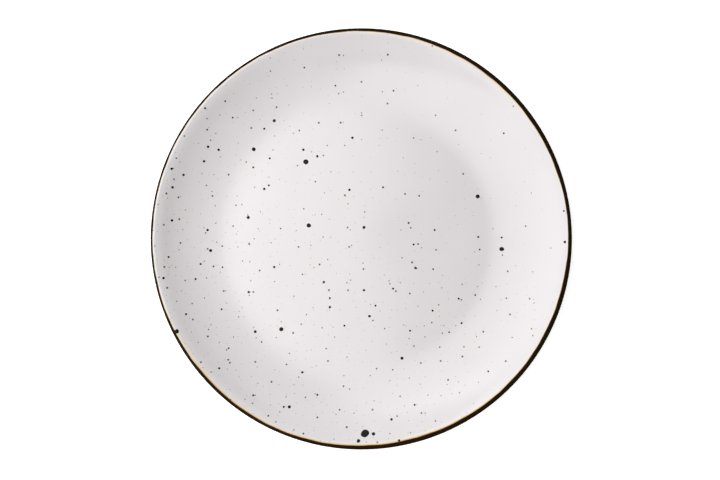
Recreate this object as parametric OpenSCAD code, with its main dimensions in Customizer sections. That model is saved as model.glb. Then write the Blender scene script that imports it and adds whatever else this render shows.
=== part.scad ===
// Dessert plate, coupe form: a turned stoneware body with a crowned well and a foot ring,
// white glaze on the face, the back and the base, and a dark band laid by hand over the lip.
// Millimetres, +Z up. The origin is the centre of the foot ring, on the table.

/* [Plate] */
// Diameter over the rim band
plate_d = 200; // [170:1:280]
// Height from the table to the top of the lip
plate_h = 21; // [17:0.5:28]
// Diameter of the crowned well, where the wall begins to rise
well_d = 117; // [90:1:140]
// Rise of the well's centre above its edge
well_crown = 1.6; // [1.4:0.1:3]
// Slope at the very centre, where the turned crown comes to a faint point, in degrees
well_peak = 1.1; // [0:0.1:1.1]

/* [Body] */
// Thickness of the body under the well
floor_t = 4.4; // [3:0.1:8]
// Thickness of the body at the lip
lip_t = 2; // [1.6:0.1:4]
// Slope at which the wall meets the lip, in degrees
lip_slope = 23; // [10:1:34]
// Radius of the outward turn below the lip
flare_r = 22; // [12:1:50]

/* [Foot ring] */
// Outer diameter of the foot ring
foot_d = 118; // [80:1:140]
// Thickness of the foot ring
foot_t = 5; // [3:0.1:12]
// Height of the foot ring, from the table to the underside beside it
foot_h = 3; // [2.6:0.1:6]
// Radius of the hollows where the foot ring meets the underside
foot_hollow_r = 1.4; // [0.8:0.1:1.8]
// Radius of the foot ring's two lower edges
foot_edge_r = 0.7; // [0.2:0.1:1]
// Height of the foot ring that is wiped bare of glaze
foot_bare_h = 1.1; // [0.8:0.1:1.5]

/* [Glaze] */
// Thickness of the white glaze
glaze_t = 0.35; // [0.15:0.05:0.7]
// Thickness of the dark glaze of the rim band
band_t = 0.45; // [0.15:0.05:0.8]
// Width of the rim band seen from above, on average
band_w = 1.4; // [1.2:0.1:4]
// Height of the rim band seen from the side, below the top of the lip
band_h = 3.2; // [2.6:0.1:6]
// How far the band's inner edge lies off centre along X
band_off_x = -0.6; // [-0.6:0.1:0.6]
// How far the band's inner edge lies off centre along Y
band_off_y = 0.3; // [-0.6:0.1:0.6]
// Clearance that keeps a coat's curved faces off the body and off the next coat
coat_gap = 0.12; // [0.02:0.01:0.2]

/* [Hidden] */

// Largest distance between an arc and its chords
chord_gap = 0.008;
// Distance by which the shapes that part the coats stand clear of the plate
cut_over = 5;
// Halvings in the search for the wall's slope
slope_steps = 40;
// Steepest slope that the search tries, in degrees
slope_most = 75;
$fn = 180;

// Unit normal, on the upper side, of a surface that climbs outwards at slope a
function normal(a) = [-sin(a), cos(a)];

// Direction of an arm from a circle's centre, in degrees from the +X side of the section
function arm(a) = [cos(a), sin(a)];

// Number of chords for an arc of radius r that turns through a
function chords(r, a) = max(2, ceil(abs(a) / (2 * acos(1 - chord_gap / r))));

// Points of an arc from angle a0 to a1. The radius r is drawn as r + grow, with the chord count
// of r, so that an arc and its parallel have matching points.
function arc(c, r, a0, a1, grow = 0) =
    let (n = chords(r, a1 - a0))
    [for (i = [0:n]) c + (r + grow) * arm(a0 + (a1 - a0) * i / n)];

// Runs of points that start where the last one ended, as one line without the repeated points
function chain(runs) =
    [for (k = [0:len(runs) - 1], i = [min(k, 1):len(runs[k]) - 1]) runs[k][i]];

// Where two circles meet, on the right-hand side going from centre a to centre b
function meeting(a, ra, b, rb) =
    let (d = norm(b - a), u = (b - a) / d)
    let (along = (d * d + ra * ra - rb * rb) / (2 * d))
    a + along * u + sqrt(ra * ra - along * along) * [u[1], -u[0]];

// The same points from the last to the first
function reversed(points) = [for (i = [len(points) - 1:-1:0]) points[i]];

// How far the outer faces of the coats stand off the body
glaze_out = coat_gap + glaze_t;
band_out = coat_gap + band_t;

// Crowned well: one large arc that falls from the faint point at the axis to the well's edge
well_r = well_d / 2;
well_edge = [well_r, foot_h + floor_t];
crown_slope = 2 * atan(well_crown / well_r) - well_peak;
crown_r = well_r / (sin(crown_slope) - sin(well_peak));
crown_c = well_edge - crown_r * normal(-crown_slope);

// Lip: a round nose, and the outward turn that runs into it
nose_r = lip_t / 2;
nose_c = [plate_d / 2 - band_out - nose_r, plate_h - band_out - nose_r];
flare_c = nose_c - (flare_r - nose_r) * normal(lip_slope);

// Wall: one arc that leaves the crown smoothly and meets the outward turn at the steepest slope
function turn_at(s) = flare_c + flare_r * normal(s);
function wall_r_at(s) = (turn_at(s)[0] - well_edge[0]) / (sin(s) + sin(crown_slope));
function wall_foot_at(s) = turn_at(s)[1] - wall_r_at(s) * (cos(crown_slope) - cos(s));
function steepest(low, high, n) =
    let (mid = (low + high) / 2)
    n == 0 ? mid
    : wall_foot_at(mid) > well_edge[1] ? steepest(mid, high, n - 1)
    : steepest(low, mid, n - 1);
wall_slope = steepest(lip_slope, slope_most, slope_steps);
wall_r = wall_r_at(wall_slope);
wall_c = turn_at(wall_slope) + wall_r * normal(wall_slope);

// Back of the wall: the same two arcs one wall away, drawn in so that the wall thins to the lip
back_wall_r = wall_r + floor_t;
back_wall_c = wall_c - [(floor_t - lip_t) / sin(wall_slope), 0];
back_flare_r = flare_r - lip_t;
back_flare_c = meeting(back_wall_c, back_wall_r + back_flare_r, nose_c, back_flare_r + nose_r);
back_turn_arm = back_wall_c - back_flare_c;
back_turn_a = atan2(back_turn_arm[1], back_turn_arm[0]);
back_nose_arm = nose_c - back_flare_c;
back_nose_a = atan2(back_nose_arm[1], back_nose_arm[0]);

// Foot ring: upright sides, round lower edges, and hollows that run into the base and the wall
foot_out_r = foot_d / 2;
foot_in_r = foot_out_r - foot_t;
out_hollow_x = foot_out_r + foot_hollow_r;
out_hollow_reach = back_wall_r + foot_hollow_r;
out_hollow_c = [
    out_hollow_x,
    back_wall_c[1] - sqrt(pow(out_hollow_reach, 2) - pow(out_hollow_x - back_wall_c[0], 2))
];
out_hollow_arm = back_wall_c - out_hollow_c;
out_hollow_a = atan2(out_hollow_arm[1], out_hollow_arm[0]);

// Base: one large arc about the axis, one floor below the well's centre and its edge
base_r = (well_r * well_r + well_crown * well_crown) / (2 * well_crown);
base_c = [0, foot_h + well_crown - base_r];
in_hollow_x = foot_in_r - foot_hollow_r;
in_hollow_c = [
    in_hollow_x,
    base_c[1] + sqrt(pow(base_r - foot_hollow_r, 2) - pow(in_hollow_x, 2))
];
in_hollow_arm = in_hollow_c - base_c;
in_hollow_a = atan2(in_hollow_arm[1], in_hollow_arm[0]);

// Face of the plate from its centre to the turn below the lip, grown outwards by a coat
function face_line(grow) = chain([
    arc(crown_c, crown_r, acos(-crown_c[0] / (crown_r + grow)), 90 - crown_slope, grow),
    arc(wall_c, wall_r, 270 - crown_slope, 270 + wall_slope, -grow)
]);

// Outward turn and the upper half of the nose, over its highest point to its widest
function lip_line(grow) = chain([
    arc(flare_c, flare_r, 90 + wall_slope, 90 + lip_slope, grow),
    arc(nose_c, nose_r, 90 + lip_slope, 90, grow),
    arc(nose_c, nose_r, 90, 0, grow)
]);

// Lower half of the nose and the back of the wall, to the end of the foot ring's outer hollow
function back_line(grow) = chain([
    arc(nose_c, nose_r, 0, back_nose_a - 180, grow),
    arc(back_flare_c, back_flare_r, back_nose_a, back_turn_a, -grow),
    arc(back_wall_c, back_wall_r, back_turn_a - 180, out_hollow_a - 180, grow),
    arc(out_hollow_c, foot_hollow_r, out_hollow_a, 180, -grow)
]);

// Foot ring from the end of its outer hollow, round its lower edges, to its inner hollow
foot_line = chain([
    [[foot_out_r, out_hollow_c[1]], [foot_out_r, foot_edge_r]],
    arc([foot_out_r - foot_edge_r, foot_edge_r], foot_edge_r, 0, -90),
    [[foot_out_r - foot_edge_r, 0], [foot_in_r + foot_edge_r, 0]],
    arc([foot_in_r + foot_edge_r, foot_edge_r], foot_edge_r, -90, -180),
    [[foot_in_r, foot_edge_r], [foot_in_r, in_hollow_c[1]]]
]);

// Recess inside the foot ring, from its inner hollow to the centre of the base
function base_line(grow) = chain([
    arc(in_hollow_c, foot_hollow_r, 0, in_hollow_a, -grow),
    arc(base_c, base_r, in_hollow_a, 90, -grow)
]);

// Section of a coat: the space between two parallels of the same line of the body
module coat_section(outer, inner) {
    polygon(concat(outer, reversed(inner)));
}

// Section of the space that the rim band takes, above its level lower edge
module band_zone() {
    translate([0, plate_h - band_h])
        square([plate_d / 2 + cut_over, band_h + cut_over]);
}

// Everything inside the band's inner edge, which runs a little off centre
module inside_band(gap) {
    translate([band_off_x, band_off_y, 0])
        cylinder(r = plate_d / 2 - band_w - gap, h = plate_h + cut_over);
}

// Fired clay of the plate, bare only under the foot ring
module stoneware_body() {
    color("#d6c8b4")
        rotate_extrude()
            polygon(chain([face_line(0), lip_line(0), back_line(0), foot_line, base_line(0)]));
}

// White glaze over the eating face, up to the rim band
module face_glaze() {
    color("#ebe6e7")
        intersection() {
            rotate_extrude()
                coat_section(
                    chain([face_line(glaze_out), lip_line(glaze_out)]),
                    chain([face_line(coat_gap), lip_line(coat_gap)])
                );
            inside_band(coat_gap);
        }
}

// Dark glaze over the lip, from the hand-laid inner edge to the level lower edge
module rim_band() {
    color("#1c1512")
        difference() {
            rotate_extrude()
                intersection() {
                    coat_section(
                        chain([lip_line(band_out), back_line(band_out)]),
                        chain([lip_line(coat_gap), back_line(coat_gap)])
                    );
                    band_zone();
                }
            inside_band(0);
        }
}

// White glaze over the outside, from the rim band to the bare foot
module back_glaze() {
    color("#e6e1e1")
        rotate_extrude()
            difference() {
                coat_section(
                    concat(back_line(glaze_out), [[foot_out_r + glaze_out, foot_bare_h]]),
                    concat(back_line(coat_gap), [[foot_out_r + coat_gap, foot_bare_h]])
                );
                band_zone();
            }
}

// White glaze in the recess inside the foot ring
module base_glaze() {
    color("#e6e1e1")
        rotate_extrude()
            coat_section(
                concat([[foot_in_r - glaze_out, foot_bare_h]], base_line(glaze_out)),
                concat([[foot_in_r - coat_gap, foot_bare_h]], base_line(coat_gap))
            );
}

stoneware_body();
face_glaze();
back_glaze();
base_glaze();
rim_band();
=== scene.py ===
import math

import bpy
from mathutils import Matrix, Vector


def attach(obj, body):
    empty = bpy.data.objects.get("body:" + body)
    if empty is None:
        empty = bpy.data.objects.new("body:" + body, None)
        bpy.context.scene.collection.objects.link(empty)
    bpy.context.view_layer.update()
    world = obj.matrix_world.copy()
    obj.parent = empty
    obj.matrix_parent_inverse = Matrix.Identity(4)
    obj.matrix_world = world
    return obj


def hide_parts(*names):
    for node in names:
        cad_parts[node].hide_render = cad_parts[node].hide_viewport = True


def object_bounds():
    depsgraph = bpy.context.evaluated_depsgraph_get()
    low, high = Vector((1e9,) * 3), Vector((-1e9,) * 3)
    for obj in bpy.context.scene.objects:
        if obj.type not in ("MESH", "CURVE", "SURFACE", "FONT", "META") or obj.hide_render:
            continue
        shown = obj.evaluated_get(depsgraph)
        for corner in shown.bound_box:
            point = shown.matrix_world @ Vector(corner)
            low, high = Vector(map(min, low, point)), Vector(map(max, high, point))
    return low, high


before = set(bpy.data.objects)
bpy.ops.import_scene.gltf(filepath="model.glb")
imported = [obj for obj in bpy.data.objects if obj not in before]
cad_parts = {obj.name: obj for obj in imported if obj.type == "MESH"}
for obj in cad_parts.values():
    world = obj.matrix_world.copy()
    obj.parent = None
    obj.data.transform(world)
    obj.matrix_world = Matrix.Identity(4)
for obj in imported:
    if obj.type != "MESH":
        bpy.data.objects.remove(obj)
cad_box = [list(corner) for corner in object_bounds()]

# Stoneware body: the plate's clay, jiggered to a coupe form on a wheel and fired. All of it is
# under glaze except the foot ring, which is wiped bare because the plate stands on it in the
# kiln. Sizes are in millimetres, and slopes and angles in degrees.
MM = 0.001
PLATE_R = round(cad_box[1][0] / MM, 2)
PLATE_H = round(cad_box[1][2] / MM, 2)
BAND_OUT = 0.57
WELL_R = 58.5
WELL_RISE = 1.6
WELL_PEAK = 1.1
FLOOR_T = 4.4
NOSE_R = 1.0
LIP_SLOPE = 23.0
LIP_T = 2.0
FLARE_R = 22.0
FOOT_H = 3.0
FOOT_OUT_R = 59.0
FOOT_IN_R = 54.0
FOOT_HOLLOW_R = 1.4
FOOT_EDGE_R = 0.7
CROWN_STEPS = 12
WALL_STEPS = 24
NOSE_STEPS = 16
CURL_STEPS = 6
TURN_STEPS = 256
WELD_GAP = 0.002
SMOOTH_A = 40.0
CLAY_SHADE = "#CDBBA2"
CLAY_LIGHT = "#DCCDB8"
CLAY_RUST = "#8A6A4A"
CLAY_GRAIN_SIZE = 0.5
CLAY_GRAIN_H = 0.08
SPONGE_MARK_SIZE = 9.0
RUST_PATCH_SIZE = 2.2
RUST_R = 0.22
RUST_FADE_R = 0.352
RUST_SHARE = 0.6


def around(centre, radius, degrees):
    """Point of the plate's section at an angle on a circle, in millimetres."""
    angle = math.radians(degrees)
    return centre[0] + radius * math.cos(angle), centre[1] + radius * math.sin(angle)


def bearing(centre, point):
    """Angle at which a point of the section lies from a centre, in degrees."""
    return math.degrees(math.atan2(point[1] - centre[1], point[0] - centre[0]))


def meeting(first, first_r, second, second_r):
    """Where two circles of the section meet, on the right going from the first to the second."""
    gap = math.dist(first, second)
    way_x, way_z = (second[0] - first[0]) / gap, (second[1] - first[1]) / gap
    along = (gap ** 2 + first_r ** 2 - second_r ** 2) / (2 * gap)
    aside = math.sqrt(first_r ** 2 - along ** 2)
    return first[0] + along * way_x + aside * way_z, first[1] + along * way_z - aside * way_x


# Section of the eating face: the crown, the wall, the outward turn and the nose are arcs that run
# into one another. The wall starts along the crown's edge and touches the circle of the turn.
nose_c = (PLATE_R - BAND_OUT - NOSE_R, PLATE_H - BAND_OUT - NOSE_R)
nose_top_a = 90 + LIP_SLOPE
well_edge = (WELL_R, FOOT_H + FLOOR_T)
crown_slope = 2 * math.degrees(math.atan(WELL_RISE / WELL_R)) - WELL_PEAK
crown_r = WELL_R / (math.sin(math.radians(crown_slope)) - math.sin(math.radians(WELL_PEAK)))
crown_low_a = 90 - crown_slope
crown_c = around(well_edge, -crown_r, crown_low_a)
flare_c = around(nose_c, NOSE_R - FLARE_R, nose_top_a)
flare_gap = math.dist(well_edge, flare_c)
flare_lift = flare_gap * math.sin(math.radians(bearing(well_edge, flare_c) + crown_slope))
wall_r = (flare_gap ** 2 - FLARE_R ** 2) / (2 * (flare_lift + FLARE_R))
wall_c = around(well_edge, wall_r, crown_low_a)
wall_low_a = crown_low_a + 180
turn_a = bearing(flare_c, wall_c)
wall_top_a = turn_a + 180

# Section of the back: it follows the face one wall away and thins to the lip, and hollows join
# the foot ring to it on both sides
back_wall_r = wall_r + FLOOR_T
back_wall_c = (wall_c[0] - (FLOOR_T - LIP_T) / math.sin(math.radians(turn_a - 90)), wall_c[1])
back_flare_r = FLARE_R - LIP_T
back_flare_c = meeting(back_wall_c, back_wall_r + back_flare_r, nose_c, back_flare_r + NOSE_R)
back_turn_a = bearing(back_flare_c, back_wall_c)
back_nose_a = bearing(back_flare_c, nose_c)
nose_low_a = back_nose_a - 180
back_wall_top_a = back_turn_a - 180
out_hollow_x = FOOT_OUT_R + FOOT_HOLLOW_R
out_hollow_c = (out_hollow_x, back_wall_c[1] - math.sqrt(
    (back_wall_r + FOOT_HOLLOW_R) ** 2 - (out_hollow_x - back_wall_c[0]) ** 2))
out_hollow_a = bearing(out_hollow_c, back_wall_c)
back_wall_low_a = out_hollow_a - 180
base_r = (WELL_R ** 2 + WELL_RISE ** 2) / (2 * WELL_RISE)
base_c = (0.0, FOOT_H + WELL_RISE - base_r)
in_hollow_x = FOOT_IN_R - FOOT_HOLLOW_R
in_hollow_c = (in_hollow_x, base_c[1] + math.sqrt(
    (base_r - FOOT_HOLLOW_R) ** 2 - in_hollow_x ** 2))
in_hollow_a = bearing(base_c, in_hollow_c)


def crown_top_a(out):
    """Angle at which the crown, grown by a coat, starts at the plate's axis."""
    return math.degrees(math.acos(-crown_c[0] / (crown_r + out)))


def crown_top(out):
    """Top point of the crown, grown by a coat."""
    return 0, crown_c[1] + (crown_r + out) * math.sin(math.radians(crown_top_a(out)))


def start_line(name, point):
    """A new piece whose mesh is one point of the section, ready to be drawn on from."""
    bpy.ops.object.select_all(action="DESELECT")
    bpy.ops.mesh.primitive_plane_add(size=MM, location=(0, 0, 0))
    piece = bpy.context.object
    piece.name = name
    piece.data.name = name
    bpy.ops.object.mode_set(mode="EDIT")
    bpy.ops.mesh.merge(type="CENTER")
    bpy.ops.transform.translate(value=(point[0] * MM, 0, point[1] * MM))
    return piece


def draw_arc(centre, start, end, steps):
    """The line goes on round a centre, from one angle to another in degrees."""
    bpy.ops.mesh.spin(steps=steps, angle=math.radians(end - start),
                      center=(centre[0] * MM, 0, centre[1] * MM), axis=(0, 1, 0))


def draw_edge(start, end):
    """The line goes straight on from one point of the section to another."""
    step = ((end[0] - start[0]) * MM, 0, (end[1] - start[1]) * MM)
    bpy.ops.mesh.extrude_region_move(TRANSFORM_OT_translate={"value": step})


def turn_line(piece, steps):
    """The drawn line is turned about the plate's axis, closed and smoothed."""
    bpy.ops.object.mode_set(mode="OBJECT")
    wheel = piece.modifiers.new("wheel", "SCREW")
    wheel.angle = 2 * math.pi
    wheel.steps = steps
    wheel.render_steps = steps
    bpy.ops.object.modifier_apply(modifier=wheel.name)
    bpy.ops.object.mode_set(mode="EDIT")
    bpy.ops.mesh.select_all(action="SELECT")
    bpy.ops.mesh.remove_doubles(threshold=WELD_GAP * MM)
    bpy.ops.mesh.normals_make_consistent(inside=False)
    bpy.ops.object.mode_set(mode="OBJECT")
    bpy.ops.object.shade_smooth_by_angle(angle=math.radians(SMOOTH_A))


body = start_line("stoneware_body_clay", crown_top(0))
draw_arc(crown_c, crown_top_a(0), crown_low_a, CROWN_STEPS)
draw_arc(wall_c, wall_low_a, wall_top_a, WALL_STEPS)
draw_arc(flare_c, turn_a, nose_top_a, CURL_STEPS)
draw_arc(nose_c, nose_top_a, nose_low_a, NOSE_STEPS)
draw_arc(back_flare_c, back_nose_a, back_turn_a, CURL_STEPS)
draw_arc(back_wall_c, back_wall_top_a, back_wall_low_a, WALL_STEPS)
draw_arc(out_hollow_c, out_hollow_a, 180, CURL_STEPS)
draw_edge((FOOT_OUT_R, out_hollow_c[1]), (FOOT_OUT_R, FOOT_EDGE_R))
draw_arc((FOOT_OUT_R - FOOT_EDGE_R, FOOT_EDGE_R), 0, -90, CURL_STEPS)
draw_edge((FOOT_OUT_R - FOOT_EDGE_R, 0), (FOOT_IN_R + FOOT_EDGE_R, 0))
draw_arc((FOOT_IN_R + FOOT_EDGE_R, FOOT_EDGE_R), -90, -180, CURL_STEPS)
draw_edge((FOOT_IN_R, FOOT_EDGE_R), (FOOT_IN_R, in_hollow_c[1]))
draw_arc(in_hollow_c, 0, in_hollow_a, CURL_STEPS)
draw_arc(base_c, in_hollow_a, 90, CROWN_STEPS)
turn_line(body, TURN_STEPS)


def colour(code):
    """Linear colour of an sRGB hex value."""
    channels = [int(code[i:i + 2], 16) / 255 for i in (1, 3, 5)]
    linear = [c / 12.92 if c <= 0.04045 else ((c + 0.055) / 1.055) ** 2.4 for c in channels]
    return (*linear, 1.0)


def add(tree, kind, inputs=None, stops=(), **settings):
    """Adds a node with its settings and a ramp's colours, the first and the last of them before
    those between, and links or sets its inputs by name or number."""
    node = tree.nodes.new(kind)
    for number, (place, code) in enumerate(stops):
        ramp = node.color_ramp.elements
        stop = ramp[number] if number < 2 else ramp.new(place)
        stop.position = place
        stop.color = colour(code)
    for name, value in settings.items():
        setattr(node, name, value)
    for name, value in (inputs or {}).items():
        if isinstance(value, bpy.types.NodeSocket):
            tree.links.new(value, node.inputs[name])
        else:
            node.inputs[name].default_value = value
    return node


def new_material(name):
    """An empty node material, its tree and its Principled shader."""
    material = bpy.data.materials.new(name)
    material.use_nodes = True
    tree = material.node_tree
    return material, tree, tree.nodes["Principled BSDF"]


# Bare fired stoneware: matt buff clay with a sandy grain of about half a millimetre and a few
# rusty grains, wiped with a damp sponge
clay, tree, shader = new_material("bare_fired_stoneware")
place = add(tree, "ShaderNodeTexCoord").outputs["Object"]
grain = add(tree, "ShaderNodeTexNoise", {"Vector": place, "Scale": 1 / (CLAY_GRAIN_SIZE * MM),
                                         "Detail": 3.0})
sponge = add(tree, "ShaderNodeTexNoise", {"Vector": place, "Scale": 1 / (SPONGE_MARK_SIZE * MM),
                                          "Detail": 2.0})
tone = add(tree, "ShaderNodeMix", {0: sponge.outputs["Fac"], 6: colour(CLAY_SHADE),
                                   7: colour(CLAY_LIGHT)}, data_type="RGBA")
rust = add(tree, "ShaderNodeTexVoronoi", {"Vector": place, "Scale": 1 / (RUST_PATCH_SIZE * MM)})
rust_fade = add(tree, "ShaderNodeMapRange", {"Value": rust.outputs["Distance"],
                                             "From Min": RUST_R / RUST_PATCH_SIZE,
                                             "From Max": RUST_FADE_R / RUST_PATCH_SIZE,
                                             "To Min": RUST_SHARE, "To Max": 0.0})
tone = add(tree, "ShaderNodeMix", {0: rust_fade.outputs["Result"], 6: tone.outputs[2],
                                   7: colour(CLAY_RUST)}, data_type="RGBA")
bump = add(tree, "ShaderNodeBump", {"Height": grain.outputs["Fac"], "Strength": 0.35,
                                    "Distance": CLAY_GRAIN_H * MM})
tree.links.new(tone.outputs[2], shader.inputs["Base Color"])
tree.links.new(bump.outputs["Normal"], shader.inputs["Normal"])
shader.inputs["Roughness"].default_value = 0.85
shader.inputs["IOR"].default_value = 1.5
body.data.materials.append(clay)
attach(body, "root")
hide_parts("stoneware_body")

# Face glaze: the white glaze that was poured over the eating face and fired on to the clay. It
# runs on under the lip band to the widest line of the nose, where the back glaze begins. Its iron
# dust is thickest at the lower left and thins out across the plate.
GLAZE_OUT = 0.47
GLAZE_IN = 0.12
GLAZE_CROWN_STEPS = 20
GLAZE_WALL_STEPS = 36
GLAZE_LIP_STEPS = 14
UNDER_NOSE_STEPS = 10
GLAZE_SHADE = "#E2DDDE"
GLAZE_LIGHT = "#E9E5E6"
BLEED_TONES = ((0.1, "#EDE5DC"), (1.0, "#B0824A"), (0.45, "#EBD9BC"), (0.75, "#DCBB88"))
BLEED_START = 0.2
IRON_GREY = "#37322F"
CLOUD_SIZE = 30.0
GLOSS_FROM = 0.16
GLOSS_TO = 0.24
PEEL_SIZE = 7.0
PEEL_H = 0.05
DUST_WAY = (0.76, 0.65, 0.0)
DUST_REACH = 94.0
DUST_THICK = 0.96
DUST_THIN = 0.05
GRAIN_FADE = 1.5
FACE_GRAINS = ((4.1, 0.07, 0.15, 0.75), (9.0, 0.15, 0.27, 0.9), (11.2, 0.25, 0.4, 0.95))

face = start_line("face_glaze_coat", crown_top(GLAZE_OUT))
draw_arc(crown_c, crown_top_a(GLAZE_OUT), crown_low_a, GLAZE_CROWN_STEPS)
draw_arc(wall_c, wall_low_a, wall_top_a, GLAZE_WALL_STEPS)
draw_arc(flare_c, turn_a, nose_top_a, GLAZE_LIP_STEPS)
draw_arc(nose_c, nose_top_a, 0, GLAZE_LIP_STEPS)
draw_edge(around(nose_c, NOSE_R + GLAZE_OUT, 0), around(nose_c, NOSE_R + GLAZE_IN, 0))
draw_arc(nose_c, 0, nose_top_a, UNDER_NOSE_STEPS)
draw_arc(flare_c, nose_top_a, turn_a, CURL_STEPS)
draw_arc(wall_c, wall_top_a, wall_low_a, WALL_STEPS)
draw_arc(crown_c, crown_low_a, crown_top_a(GLAZE_IN), CROWN_STEPS)
turn_line(face, TURN_STEPS)


def speckled_glaze(name, grains):
    """Glossy white stoneware glaze: faintly pink white with slow changes of tone and gloss, a soft
    orange peel, cream to amber where the lip band bleeds into it, and grey-black iron grains. Each
    kind of grain is given by the size of the patch that holds one, its smallest and largest radius
    in millimetres, and how dark it is."""
    material, tree, shader = new_material(name)
    place = add(tree, "ShaderNodeTexCoord").outputs["Object"]
    axes = add(tree, "ShaderNodeSeparateXYZ", {"Vector": place})
    flat = add(tree, "ShaderNodeCombineXYZ", {"X": axes.outputs["X"], "Y": axes.outputs["Y"]})
    cloud = add(tree, "ShaderNodeTexNoise", {"Vector": place, "Scale": 1 / (CLOUD_SIZE * MM),
                                             "Detail": 2.0})
    tone = add(tree, "ShaderNodeMix", {0: cloud.outputs["Fac"], 6: colour(GLAZE_SHADE),
                                       7: colour(GLAZE_LIGHT)}, data_type="RGBA")
    bled = add(tree, "ShaderNodeAttribute", attribute_name="iron_bleed")
    amber = add(tree, "ShaderNodeValToRGB", {"Fac": bled.outputs["Fac"]}, stops=BLEED_TONES)
    stained = add(tree, "ShaderNodeMapRange", {"Value": bled.outputs["Fac"], "From Max": BLEED_START})
    tone = add(tree, "ShaderNodeMix", {0: stained.outputs["Result"], 6: tone.outputs[2],
                                       7: amber.outputs["Color"]}, data_type="RGBA")
    way = add(tree, "ShaderNodeVectorMath", {0: flat.outputs["Vector"], 1: DUST_WAY},
              operation="DOT_PRODUCT")
    share = add(tree, "ShaderNodeMapRange", {"Value": way.outputs["Value"],
                                             "From Min": -DUST_REACH * MM, "From Max": DUST_REACH * MM,
                                             "To Min": DUST_THICK, "To Max": DUST_THIN})
    for patch, small, large, dark in grains:
        dust = add(tree, "ShaderNodeTexVoronoi", {"Vector": flat.outputs["Vector"],
                                                  "Scale": 1 / (patch * MM)}, voronoi_dimensions="2D")
        draw = add(tree, "ShaderNodeSeparateColor", {"Color": dust.outputs["Color"]})
        shown = add(tree, "ShaderNodeMath", {0: draw.outputs["Red"], 1: share.outputs["Result"]},
                    operation="LESS_THAN")
        edge = add(tree, "ShaderNodeMapRange", {"Value": draw.outputs["Green"],
                                                "To Min": small / patch, "To Max": large / patch})
        rim = add(tree, "ShaderNodeMath", {0: edge.outputs["Result"], 1: GRAIN_FADE},
                  operation="MULTIPLY")
        depth = add(tree, "ShaderNodeMapRange", {"Value": dust.outputs["Distance"],
                                                 "From Min": edge.outputs["Result"],
                                                 "From Max": rim.outputs["Value"],
                                                 "To Min": dark, "To Max": 0.0})
        grain = add(tree, "ShaderNodeMath", {0: depth.outputs["Result"], 1: shown.outputs["Value"]},
                    operation="MULTIPLY")
        tone = add(tree, "ShaderNodeMix", {0: grain.outputs["Value"], 6: tone.outputs[2],
                                           7: colour(IRON_GREY)}, data_type="RGBA")
    gloss = add(tree, "ShaderNodeMapRange", {"Value": cloud.outputs["Fac"], "To Min": GLOSS_FROM,
                                             "To Max": GLOSS_TO})
    peel = add(tree, "ShaderNodeTexNoise", {"Vector": place, "Scale": 1 / (PEEL_SIZE * MM),
                                            "Detail": 1.0})
    bump = add(tree, "ShaderNodeBump", {"Height": peel.outputs["Fac"], "Strength": 0.4,
                                        "Distance": PEEL_H * MM})
    tree.links.new(tone.outputs[2], shader.inputs["Base Color"])
    tree.links.new(gloss.outputs["Result"], shader.inputs["Roughness"])
    tree.links.new(bump.outputs["Normal"], shader.inputs["Normal"])
    shader.inputs["IOR"].default_value = 1.55
    return material


face.data.materials.append(speckled_glaze("glossy_white_speckled_glaze", FACE_GRAINS))
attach(face, "root")
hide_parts("face_glaze")

# Back glaze: the same white glaze on the outside of the plate, from under the lip band down to
# the line at which the foot ring was wiped, where it drew back to a rounded edge. Its larger
# specks are in the material too.
FOOT_BARE_H = 1.1
GLAZE_CURL_STEPS = 8
BACK_GRAINS = FACE_GRAINS + ((23.0, 0.4, 0.9, 0.95),)

glaze_mid = (GLAZE_OUT + GLAZE_IN) / 2
glaze_edge_r = (GLAZE_OUT - GLAZE_IN) / 2
back_edge_c = (FOOT_OUT_R + glaze_mid, FOOT_BARE_H + glaze_edge_r)
back = start_line("back_glaze_coat", around(nose_c, NOSE_R + GLAZE_OUT, 0))
draw_arc(nose_c, 0, nose_low_a, GLAZE_CURL_STEPS)
draw_arc(back_flare_c, back_nose_a, back_turn_a, GLAZE_CURL_STEPS)
draw_arc(back_wall_c, back_wall_top_a, back_wall_low_a, GLAZE_WALL_STEPS)
draw_arc(out_hollow_c, out_hollow_a, 180, GLAZE_CURL_STEPS)
draw_edge((FOOT_OUT_R + GLAZE_OUT, out_hollow_c[1]), around(back_edge_c, glaze_edge_r, 0))
draw_arc(back_edge_c, 0, -180, CURL_STEPS)
draw_edge(around(back_edge_c, glaze_edge_r, 180), (FOOT_OUT_R + GLAZE_IN, out_hollow_c[1]))
draw_arc(out_hollow_c, 180, out_hollow_a, CURL_STEPS)
draw_arc(back_wall_c, back_wall_low_a, back_wall_top_a, WALL_STEPS)
draw_arc(back_flare_c, back_turn_a, back_nose_a, CURL_STEPS)
draw_arc(nose_c, nose_low_a, 0, CURL_STEPS)
draw_edge(around(nose_c, NOSE_R + GLAZE_IN, 0), around(nose_c, NOSE_R + GLAZE_OUT, 0))
turn_line(back, TURN_STEPS)
back_white = speckled_glaze("glossy_white_speckled_back_glaze", BACK_GRAINS)
back.data.materials.append(back_white)
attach(back, "root")
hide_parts("back_glaze")

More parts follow.
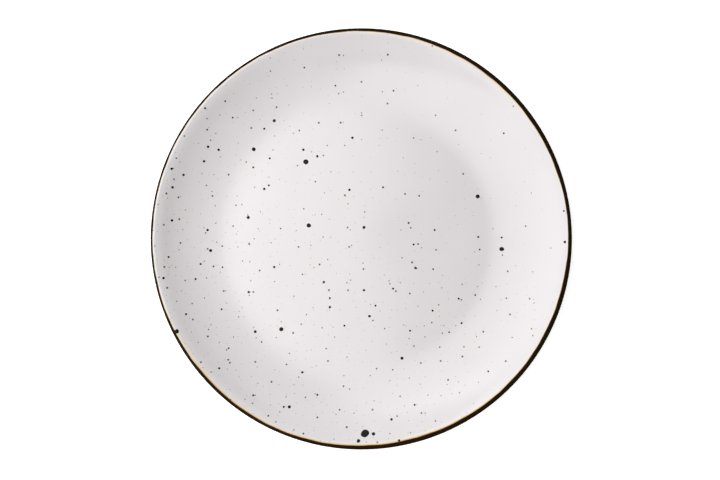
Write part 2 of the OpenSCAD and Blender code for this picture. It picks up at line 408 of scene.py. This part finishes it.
# Base glaze: the white glaze in the recess inside the foot ring, wiped to the same height as
# the back glaze, and cut off from it by the bare foot
base_edge_c = (FOOT_IN_R - glaze_mid, FOOT_BARE_H + glaze_edge_r)
base = start_line("base_glaze_coat", (0, base_c[1] + base_r - GLAZE_OUT))
draw_arc(base_c, 90, in_hollow_a, CROWN_STEPS)
draw_arc(in_hollow_c, in_hollow_a, 0, GLAZE_CURL_STEPS)
draw_edge((FOOT_IN_R - GLAZE_OUT, in_hollow_c[1]), around(base_edge_c, glaze_edge_r, 180))
draw_arc(base_edge_c, 180, 360, CURL_STEPS)
draw_edge(around(base_edge_c, glaze_edge_r, 0), (FOOT_IN_R - GLAZE_IN, in_hollow_c[1]))
draw_arc(in_hollow_c, 0, in_hollow_a, CURL_STEPS)
draw_arc(base_c, in_hollow_a, 90, CROWN_STEPS)
turn_line(base, TURN_STEPS)
base.data.materials.append(back_white)
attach(base, "root")
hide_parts("base_glaze")

# Lip band: dark iron glaze that was laid over the lip by hand with a brush while the plate
# turned. Its inner edge runs out of true with the lip, and its iron bleeds into the white glaze.
# It is drawn even all round and then stretched to its own width at each angle.
BAND_IN = 0.40
BAND_EDGE = 0.44
BAND_W = 1.8
BAND_OFF = (-0.62, 0.22)
BAND_H = 3.2
BAND_FADE = 0.45
BAND_FIRST_A = 75.0
BAND_LIFT_A = 69.0
BAND_FULL_A = 60.0
BAND_THIN_A = 0.6
BAND_UNDER_A = 0.3
BAND_NOSE_STEPS = 20
BAND_LOW_STEPS = 3
BAND_STEPS = 720
LOW_COVER = 0.1
LOW_COVER_GAIN = 2.5
BLEED = 0.8
BLEED_W = 1.1
BAND_TONES = ((0.0, "#B88A50"), (1.0, "#1F1405"), (0.3, "#7A5529"), (0.6, "#2F1D0B"))
STREAK_SIZE = 3.0
STREAK_H = 0.04
STREAK_SHARE = 0.3
SATIN_FROM = 0.7
SATIN_TO = 0.5

# Each brush mark: its angle, what it adds to the width and to the bleeding, and its reach in
# degrees. Each ripple: its waves round the plate, its height and its start in degrees.
BRUSH_MARKS = ((6, -0.45, -0.6, 14), (28, 0.0, -0.3, 14), (60, 0.2, -0.1, 40), (105, 0.0, -0.25, 25),
               (165, 0.0, -0.75, 50), (-140, 0.33, 0.3, 18), (-76, 0.27, 0.1, 18), (-22, 0.0, -0.35, 25))
BRUSH_RIPPLES = ((23, 0.05, 10), (41, 0.04, 70), (67, 0.03, 200))


def brushed(turn):
    """What the brush marks near an angle in degrees add to the band's width and to its bleeding."""
    wider = 0.0
    bleeding = 0.0
    for mark_a, more_width, more_bleeding, reach in BRUSH_MARKS:
        apart = (turn - mark_a + 180) % 360 - 180
        near = math.exp(-(apart / reach) ** 2)
        wider += more_width * near
        bleeding += more_bleeding * near
    return wider, bleeding


def band_width(turn):
    """Width of the band from the plate's outline to its thin inner edge, at an angle in degrees."""
    angle = math.radians(turn)
    width = BAND_W - BAND_OFF[0] * math.cos(angle) - BAND_OFF[1] * math.sin(angle)
    for waves, height, start in BRUSH_RIPPLES:
        width += height * math.sin(waves * angle + math.radians(start))
    return width + brushed(turn)[0]


band_r = NOSE_R + BAND_OUT
turn_share = band_r / (FLARE_R + BAND_OUT)


def lip_point(out, lean):
    """Point of a coat on the lip: round the nose, and on from its top along the outward turn."""
    if lean < nose_top_a:
        return around(nose_c, NOSE_R + out, lean)
    return around(flare_c, FLARE_R + out, nose_top_a + (lean - nose_top_a) * turn_share)


def lip_lean(r):
    """The lean at which the full band lies at a distance from the plate's axis."""
    lean = math.degrees(math.acos((r - nose_c[0]) / band_r))
    if lean < nose_top_a:
        return lean
    turned = math.degrees(math.acos((r - flare_c[0]) / (FLARE_R + BAND_OUT)))
    return nose_top_a + (turned - nose_top_a) / turn_share


band_low_z = PLATE_H - BAND_H
band_low_a = 180 - math.degrees(math.asin(
    (band_low_z - back_flare_c[1]) / (back_flare_r - BAND_OUT)))
band_first = around(nose_c, NOSE_R + BAND_EDGE, BAND_FIRST_A)
band_lift = around(nose_c, NOSE_R + (BAND_EDGE + 2 * BAND_OUT) / 3, BAND_LIFT_A)
band_low = around(back_flare_c, back_flare_r - BAND_EDGE, band_low_a)
band = start_line("lip_band_glaze", band_first)
draw_edge(band_first, band_lift)
draw_edge(band_lift, around(nose_c, NOSE_R + BAND_OUT, BAND_FULL_A))
draw_arc(nose_c, BAND_FULL_A, nose_low_a, BAND_NOSE_STEPS)
draw_arc(back_flare_c, back_nose_a, band_low_a - BAND_THIN_A, BAND_LOW_STEPS)
draw_edge(around(back_flare_c, back_flare_r - BAND_OUT, band_low_a - BAND_THIN_A), band_low)
draw_edge(band_low, around(back_flare_c, back_flare_r - BAND_IN, band_low_a - BAND_UNDER_A))
draw_arc(back_flare_c, band_low_a - BAND_UNDER_A, back_nose_a, BAND_LOW_STEPS)
draw_arc(nose_c, nose_low_a, BAND_FIRST_A, NOSE_STEPS)
draw_edge(around(nose_c, NOSE_R + BAND_IN, BAND_FIRST_A), band_first)
turn_line(band, BAND_STEPS)

# Each line across the lip is stretched to the band's own width there, and every point keeps how
# much glaze covers it, from little at the two edges to the full coat
cover = band.data.attributes.new("cover", "FLOAT", "POINT")
for vertex in band.data.vertices:
    angle = math.atan2(vertex.co.y, vertex.co.x)
    across = (math.hypot(vertex.co.x, vertex.co.y) / MM, vertex.co.z / MM)
    lean = bearing(nose_c, across)
    from_low = lean - nose_low_a
    inner_a = lip_lean(PLATE_R - band_width(math.degrees(angle)))
    if from_low > 0:
        lean = nose_low_a + from_low * (inner_a - nose_low_a) / (BAND_FIRST_A - nose_low_a)
        r, z = lip_point(math.dist(nose_c, across) - NOSE_R, lean)
        vertex.co = (r * MM * math.cos(angle), r * MM * math.sin(angle), z * MM)
    inner_gap = math.radians(inner_a - lean) * band_r
    low_gap = max(0.0, across[1] - band_low_z) if from_low <= 0 else 1.0
    cover.data[vertex.index].value = min(
        inner_gap / BAND_FADE, LOW_COVER + LOW_COVER_GAIN * low_gap, 1.0)

# The band's iron bleeds into the face glaze: strongest at the band's edge, and gone about a
# millimetre further in
bleed = face.data.attributes.new("iron_bleed", "FLOAT", "POINT")
for vertex in face.data.vertices:
    turn = math.degrees(math.atan2(vertex.co.y, vertex.co.x))
    inside = PLATE_R - band_width(turn) - math.hypot(vertex.co.x, vertex.co.y) / MM
    bleed.data[vertex.index].value = max(
        0.0, BLEED + brushed(turn)[1] - max(0.0, inside) / BLEED_W)

# Dark iron glaze: near black and satin where it is thick, and brown to amber where it is thin
iron_brown, tree, shader = new_material("dark_iron_lip_glaze")
place = add(tree, "ShaderNodeTexCoord").outputs["Object"]
coat = add(tree, "ShaderNodeAttribute", attribute_name="cover")
streak = add(tree, "ShaderNodeTexNoise", {"Vector": place, "Scale": 1 / (STREAK_SIZE * MM),
                                          "Detail": 3.0})
uneven = add(tree, "ShaderNodeMath", {0: streak.outputs["Fac"], 1: -0.5}, operation="ADD")
depth = add(tree, "ShaderNodeMath", {0: uneven.outputs["Value"], 1: STREAK_SHARE,
                                     2: coat.outputs["Fac"]}, operation="MULTIPLY_ADD")
tones = add(tree, "ShaderNodeValToRGB", {"Fac": depth.outputs["Value"]}, stops=BAND_TONES)
satin = add(tree, "ShaderNodeMapRange", {"Value": streak.outputs["Fac"], "To Min": SATIN_FROM,
                                         "To Max": SATIN_TO})
bump = add(tree, "ShaderNodeBump", {"Height": streak.outputs["Fac"], "Strength": 0.4,
                                    "Distance": STREAK_H * MM})
tree.links.new(tones.outputs["Color"], shader.inputs["Base Color"])
tree.links.new(satin.outputs["Result"], shader.inputs["Roughness"])
tree.links.new(bump.outputs["Normal"], shader.inputs["Normal"])
shader.inputs["Specular IOR Level"].default_value = 0.03
band.data.materials.append(iron_brown)
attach(band, "root")
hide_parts("rim_band")

# Iron spots: the larger specks of iron that melted out of the clay into the white glaze. Each
# is a flat bead sunk in the surface, and its place is where the plate shows it from above.
SPOT_SIDES = 12
SPOT_EDGE_INSET = 0.28
SPOT_TOP_INSET = 0.34
SPOT_SWELL_W = 0.6
SPOT_EDGE_W = 0.3
SPOT_WOBBLE = 0.07
SPOT_SINK = 0.015
SPOT_H = 0.09
SPOT_WELD_GAP = 0.001
SPOT_SMOOTH_A = 60.0
SPOT_TONES = ((0.2, "#E4DFDF"), (0.95, "#131112"), (0.5, "#363130"))
SPOT_RAG_SIZE = 0.5
SPOT_RAG_SHARE = 0.3

# The picture that the places are read from: the pixel over the plate's axis, the millimetres in a
# pixel at the height of the lip, and how far above the lip it was taken
VIEW_CENTRE = (361.3, 238.9)
VIEW_SCALE = 0.4753
VIEW_FROM = 1044.0

# Each spot's place is in pixels from the left and the top. A large spot has its length and width
# in millimetres and its lean in degrees, and the others are round, in three sizes.
LARGE_SPOTS = (
    (365, 433, 4.5, 3.75, 20), (306, 162, 2.85, 2.8, 0), (501.5, 249, 2.65, 2.2, 0),
    (176.5, 331.5, 2.95, 2.55, 40), (309, 225.5, 2.35, 2.35, 0), (477.5, 196.5, 2.25, 2.25, 0),
    (281.5, 329, 2.3, 2.3, 0), (254, 149.5, 2.15, 2.05, 0), (402, 358, 1.75, 1.65, 0),
    (248.5, 217.5, 1.75, 1.75, 0), (373.5, 433.5, 1.95, 1.75, 0), (274.5, 121, 1.7, 1.65, 0),
    (369.5, 316, 1.6, 1.4, 0), (415.5, 268, 1.75, 1.15, -15), (289.5, 406.5, 1.65, 1.65, 0),
    (358.5, 440.5, 1.85, 1.85, 0), (349.5, 190, 1.4, 1.4, 0), (364, 227.5, 1.65, 1.65, 0),
    (255.5, 331.5, 1.6, 1.6, 0), (211, 250.5, 1.75, 1.6, 0))
MIDDLE_SPOT = 1.37
MIDDLE_SPOTS = (
    (264.5, 189), (219, 150), (204.5, 161.5), (172, 169), (184, 175), (173, 187.5), (172.5, 220.5),
    (317.5, 156.5), (274.5, 267), (249, 292), (324, 282), (330, 307), (302.5, 372), (364, 290),
    (391.5, 419), (564.5, 242), (352.5, 138), (303.5, 150), (164, 278), (399, 440), (208, 230),
    (208.5, 147))
SMALL_SPOT = 1.14
SMALL_SPOTS = (
    (201, 264), (205.5, 108.5), (408.5, 223), (253.5, 395), (458.5, 298.5), (264.5, 129), (269, 185.5),
    (270, 158.5), (253.5, 167.5), (501.5, 237.5), (478, 237), (330, 298), (169, 257), (284, 406.5),
    (317.5, 394.5), (219.5, 368), (186.5, 314), (344.5, 325.5), (196, 279), (393, 288.5), (375.5, 305.5),
    (410, 330.5), (432.5, 310.5), (461.5, 323), (414.5, 404.5), (413.5, 244.5), (383, 187.5),
    (434.5, 230))
FINE_SPOT = 0.97
FINE_SPOTS = (
    (225.5, 101.5), (233, 118), (304.5, 68), (405, 194), (393.5, 91), (463, 174), (229, 348), (475, 295),
    (488, 371), (448, 379.5), (433, 269), (479.5, 249.5), (207.5, 130), (335.5, 86), (419, 196),
    (503.5, 133.5), (563.5, 211), (228.5, 359.5), (317.5, 417), (268.5, 415.5), (449, 332), (483, 331.5),
    (418, 244))

# One spot is modelled as a disc of radius 1, so that its insets, its two widths and its wobble are
# shares of that. It keeps how far each point swells and how much iron it holds. The iron is added
# last, because the first swell weight moves the mesh's data.
bpy.ops.object.select_all(action="DESELECT")
bpy.ops.mesh.primitive_circle_add(vertices=SPOT_SIDES, radius=1.0, fill_type="NGON")
spot = bpy.context.object
bpy.ops.object.mode_set(mode="EDIT")
bpy.ops.mesh.inset(thickness=SPOT_EDGE_INSET)
bpy.ops.mesh.inset(thickness=SPOT_TOP_INSET)
bpy.ops.object.mode_set(mode="OBJECT")
swell = spot.vertex_groups.new(name="swell")
for vertex in spot.data.vertices:
    swell.add([vertex.index], min(1.0, (1.0 - vertex.co.length) / SPOT_SWELL_W), "REPLACE")
iron = spot.data.attributes.new("iron", "FLOAT", "POINT")
for vertex in spot.data.vertices:
    iron.data[vertex.index].value = min(1.0, (1.0 - vertex.co.length) / SPOT_EDGE_W)

turn_point = around(flare_c, FLARE_R, turn_a)


def face_height(r):
    """Height of the face at a distance from the plate's axis, level over the well."""
    if r < WELL_R:
        return well_edge[1]
    if r < turn_point[0]:
        return wall_c[1] - math.sqrt(wall_r ** 2 - (r - wall_c[0]) ** 2)
    return flare_c[1] + math.sqrt(FLARE_R ** 2 - (r - flare_c[0]) ** 2)


# Its copies, each with its own ragged outline, are put over their places and joined
spots = list(LARGE_SPOTS)
for places, size in ((MIDDLE_SPOTS, MIDDLE_SPOT), (SMALL_SPOTS, SMALL_SPOT), (FINE_SPOTS, FINE_SPOT)):
    spots += [(across, down, size, size, 0) for across, down in places]
copies = []
for number, (across, down, length, width, lean) in enumerate(spots):
    bpy.ops.object.select_all(action="DESELECT")
    spot.select_set(True)
    bpy.context.view_layer.objects.active = spot
    bpy.ops.object.duplicate(linked=False)
    copy = bpy.context.object
    bpy.ops.object.mode_set(mode="EDIT")
    bpy.ops.mesh.select_all(action="SELECT")
    bpy.ops.transform.vertex_random(offset=SPOT_WOBBLE, uniform=1.0, normal=0.0, seed=number)
    bpy.ops.object.mode_set(mode="OBJECT")
    copy.scale = (length / 2 * MM, width / 2 * MM, MM)
    copy.rotation_euler = (0, 0, math.radians(lean))
    seen_r = math.dist((across, down), VIEW_CENTRE) * VIEW_SCALE
    true_scale = VIEW_SCALE * (1 + (nose_c[1] - face_height(seen_r)) / VIEW_FROM) * MM
    copy.location = ((across - VIEW_CENTRE[0]) * true_scale, (VIEW_CENTRE[1] - down) * true_scale,
                     2 * PLATE_H * MM)
    bpy.ops.object.transform_apply(location=True, rotation=True, scale=True)
    copies.append(copy)
bpy.data.objects.remove(spot)
for copy in copies:
    copy.select_set(True)
beads = copies[0]
bpy.context.view_layer.objects.active = beads
bpy.ops.object.join()
beads.name = "iron_spots"
beads.data.name = "iron_spots"

# The discs are laid down on the glaze, and swell to beads
wrap = beads.modifiers.new("on_the_glaze", "SHRINKWRAP")
wrap.target = face
wrap.wrap_method = "PROJECT"
wrap.use_project_z = True
wrap.use_negative_direction = True
wrap.use_positive_direction = False
wrap.offset = -SPOT_SINK * MM
bpy.ops.object.modifier_apply(modifier=wrap.name)
bead = beads.modifiers.new("bead", "SOLIDIFY")
bead.thickness = SPOT_H * MM
bead.offset = 1.0
bead.vertex_group = "swell"
bead.use_rim = False
bpy.ops.object.modifier_apply(modifier=bead.name)
bpy.ops.object.mode_set(mode="EDIT")
bpy.ops.mesh.select_all(action="SELECT")
bpy.ops.mesh.remove_doubles(threshold=SPOT_WELD_GAP * MM)
bpy.ops.mesh.normals_make_consistent(inside=False)
bpy.ops.object.mode_set(mode="OBJECT")
bpy.ops.object.shade_smooth_by_angle(angle=math.radians(SPOT_SMOOTH_A))

# Melted iron in glaze: dark grey-black and satin, fading to the white of the glaze over its
# ragged edge
melted, tree, shader = new_material("melted_iron_in_glaze")
place = add(tree, "ShaderNodeTexCoord").outputs["Object"]
share = add(tree, "ShaderNodeAttribute", attribute_name="iron")
ragged = add(tree, "ShaderNodeTexNoise", {"Vector": place, "Scale": 1 / (SPOT_RAG_SIZE * MM),
                                          "Detail": 2.0})
shaken = add(tree, "ShaderNodeMath", {0: ragged.outputs["Fac"], 1: SPOT_RAG_SHARE,
                                      2: share.outputs["Fac"]}, operation="MULTIPLY_ADD")
tones = add(tree, "ShaderNodeValToRGB", {"Fac": shaken.outputs["Value"]}, stops=SPOT_TONES)
tree.links.new(tones.outputs["Color"], shader.inputs["Base Color"])
shader.inputs["Roughness"].default_value = 0.35
shader.inputs["Specular IOR Level"].default_value = 0.1
beads.data.materials.append(melted)
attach(beads, "root")

# Floor: a plain white table top under the plate, which stays white to the eye and keeps the
# plate's soft shadow. Its sizes are in metres.
FLOOR_SIZE = 6.0
FLOOR_WHITE = "#F2F2F2"
FLOOR_GLOW = 0.77
FLOOR_NEAR = 0.3
FLOOR_FAR = 1.0
PURE_WHITE = "#FFFFFF"

bpy.ops.object.select_all(action="DESELECT")
bpy.ops.mesh.primitive_plane_add(size=FLOOR_SIZE, location=(0, 0, 0))
floor = bpy.context.object
floor.name = "white_table_top"
floor_white, tree, shader = new_material("white_table_top")
shader.inputs["Base Color"].default_value = colour(FLOOR_WHITE)
shader.inputs["Roughness"].default_value = 0.9
shader.inputs["Specular IOR Level"].default_value = 0.0
place = add(tree, "ShaderNodeTexCoord").outputs["Object"]
away = add(tree, "ShaderNodeVectorMath", {0: place}, operation="LENGTH")
white = add(tree, "ShaderNodeMapRange", {"Value": away.outputs["Value"], "From Min": FLOOR_NEAR,
                                         "From Max": FLOOR_FAR, "To Min": FLOOR_GLOW, "To Max": 1.0})
seen = add(tree, "ShaderNodeLightPath")
glow = add(tree, "ShaderNodeMath", {0: seen.outputs["Is Camera Ray"], 1: white.outputs["Result"]},
           operation="MULTIPLY")
shader.inputs["Emission Color"].default_value = colour(PURE_WHITE)
tree.links.new(glow.outputs["Value"], shader.inputs["Emission Strength"])
floor.data.materials.append(floor_white)

# Surroundings: a white room for the eye and in reflections. Its light is a soft even fill, and
# more of it comes from below, which reaches only a plate that is seen without the table.
FILL = 0.03
FILL_BELOW = 0.55
HORIZON_FADE = 0.02

world = bpy.data.worlds.new("white_room")
bpy.context.scene.world = world
world.use_nodes = True
tree = world.node_tree
room = tree.nodes["Background"]
room.inputs["Color"].default_value = colour(PURE_WHITE)
seen = add(tree, "ShaderNodeLightPath")
mirrored = add(tree, "ShaderNodeMath", {0: seen.outputs["Is Glossy Ray"],
                                        1: seen.outputs["Is Transmission Ray"]}, operation="MAXIMUM")
shown = add(tree, "ShaderNodeMath", {0: seen.outputs["Is Camera Ray"], 1: mirrored.outputs["Value"]},
            operation="MAXIMUM")
way = add(tree, "ShaderNodeTexCoord").outputs["Generated"]
height = add(tree, "ShaderNodeSeparateXYZ", {"Vector": way})
fill = add(tree, "ShaderNodeMapRange", {"Value": height.outputs["Z"], "From Min": -HORIZON_FADE,
                                        "From Max": 0.0, "To Min": FILL_BELOW, "To Max": FILL})
level = add(tree, "ShaderNodeMapRange", {"Value": shown.outputs["Value"],
                                         "To Min": fill.outputs["Result"], "To Max": 1.0})
tree.links.new(level.outputs["Result"], room.inputs["Strength"])


# Lamps: three soft boxes, one close over the left of the plate, which models the well and the
# wall, and two wide dim ones on its far and near sides
def softbox(name, place, across, along, glow):
    """A rectangular soft lamp turned to the plate, its sizes in metres and its glow set against
    white: across lies level, and along leans with the lamp."""
    lamp = bpy.data.lights.new(name, "AREA")
    lamp.shape = "RECTANGLE"
    lamp.size = across
    lamp.size_y = along
    lamp.energy = glow * math.pi * across * along
    holder = bpy.data.objects.new(name, lamp)
    bpy.context.scene.collection.objects.link(holder)
    holder.location = place
    holder.rotation_euler = (-Vector(place)).to_track_quat("-Z", "Y").to_euler()


softbox("key_softbox", place=(-0.285, 0.0, 0.455), across=0.97, along=0.76, glow=1.95)
softbox("far_side_softbox", place=(-0.10, 1.05, 0.58), across=1.5, along=1.2, glow=0.74)
softbox("near_side_softbox", place=(0.0, -1.52, 0.50), across=2.0, along=1.0, glow=0.64)

# Camera: straight above the plate, about a metre over its lip, with the top of the picture
# towards the far side
CAMERA_LENS = 110
CAMERA_SENSOR = 36
CAMERA_OFF = (-0.6, -0.53)

camera = bpy.data.objects.new("camera", bpy.data.cameras.new("camera"))
bpy.context.scene.collection.objects.link(camera)
camera.data.lens = CAMERA_LENS
camera.data.sensor_width = CAMERA_SENSOR
camera.location = (CAMERA_OFF[0] * MM, CAMERA_OFF[1] * MM, (nose_c[1] + VIEW_FROM) * MM)
camera.rotation_euler = (0, 0, 0)
bpy.context.scene.camera = camera
bpy.context.scene.view_settings.view_transform = "Standard"
